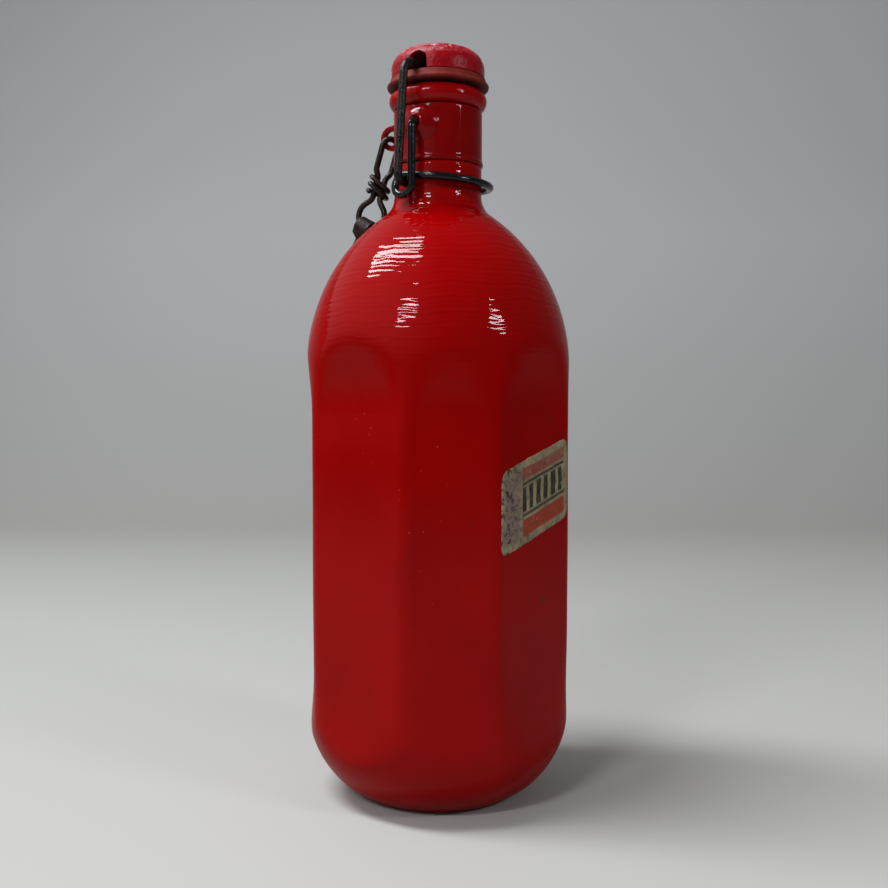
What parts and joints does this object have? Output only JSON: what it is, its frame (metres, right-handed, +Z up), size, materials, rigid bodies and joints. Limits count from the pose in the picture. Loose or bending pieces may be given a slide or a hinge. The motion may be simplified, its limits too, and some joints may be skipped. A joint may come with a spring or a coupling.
{
  "type": "swing top bottle",
  "caption": "Hollow flask with flats round its sides, a domed shoulder, a wire lever and yoke that clamp a stopper on its mouth, and a wire link with a folded strap.",
  "frame": {"origin": "centre of the base, on the surface the bottle stands on", "axes": "+Z up along the bottle axis; -Y is the front, where the lever handle lies; X is along the lever pivots"},
  "size_m": [0.0822, 0.0822, 0.2325],
  "materials": {
    "red_enamel": "gloss",
    "collar_enamel": "satin",
    "black_wire": "gloss",
    "brown_wire": "satin",
    "cap_plastic": "satin",
    "ring_rubber": "matte",
    "link_wire": "satin",
    "binding_wire": "satin",
    "strap_leather": "satin",
    "rivet_brass": "satin",
    "sticker_paper": "matte"
  },
  "bodies": {
    "bottle": {"bottle_shell": "red_enamel", "neck_collar": "collar_enamel", "sticker": "sticker_paper"},
    "lever": {"lever_wire": "black_wire"},
    "bail": {"bail_wire": "brown_wire"},
    "stopper": {"stopper_cap": "cap_plastic", "sealing_ring": "ring_rubber"},
    "link": {"carry_link": "link_wire", "link_binding": "binding_wire"},
    "strap": {"strap_tab": "strap_leather", "strap_rivet": "rivet_brass"}
  },
  "joints": [
    {"name": "lever_turn", "type": "hinge", "parent": "bottle", "child": "lever", "pos_m": [0, 0, 0.2062], "axis": [-1, 0, 0], "range_deg": [0, 150]},
    {"name": "bail_turn", "type": "hinge", "parent": "lever", "child": "bail", "pos_m": [0, 0.0032, 0.18805], "axis": [1, 0, 0], "range_deg": [0, 69]},
    {"name": "stopper_turn", "type": "hinge", "parent": "bail", "child": "stopper", "pos_m": [0, 0.0009, 0.2237], "axis": [1, 0, 0], "range_deg": [0, 81]},
    {"name": "link_swing", "type": "hinge", "parent": "bottle", "child": "link", "pos_m": [0, 0.0161, 0.206], "axis": [1, 0, 0], "range_deg": [0, 60]},
    {"name": "strap_swing", "type": "hinge", "parent": "link", "child": "strap", "pos_m": [0, 0.02624, 0.17789], "axis": [0, 0.866, 0.5], "range_deg": [-12, 12]}
  ],
  "couplings": [
    {"joint": "bail_turn", "follows": "lever_turn", "ratio": 0.46},
    {"joint": "stopper_turn", "follows": "lever_turn", "ratio": 0.54}
  ]
}
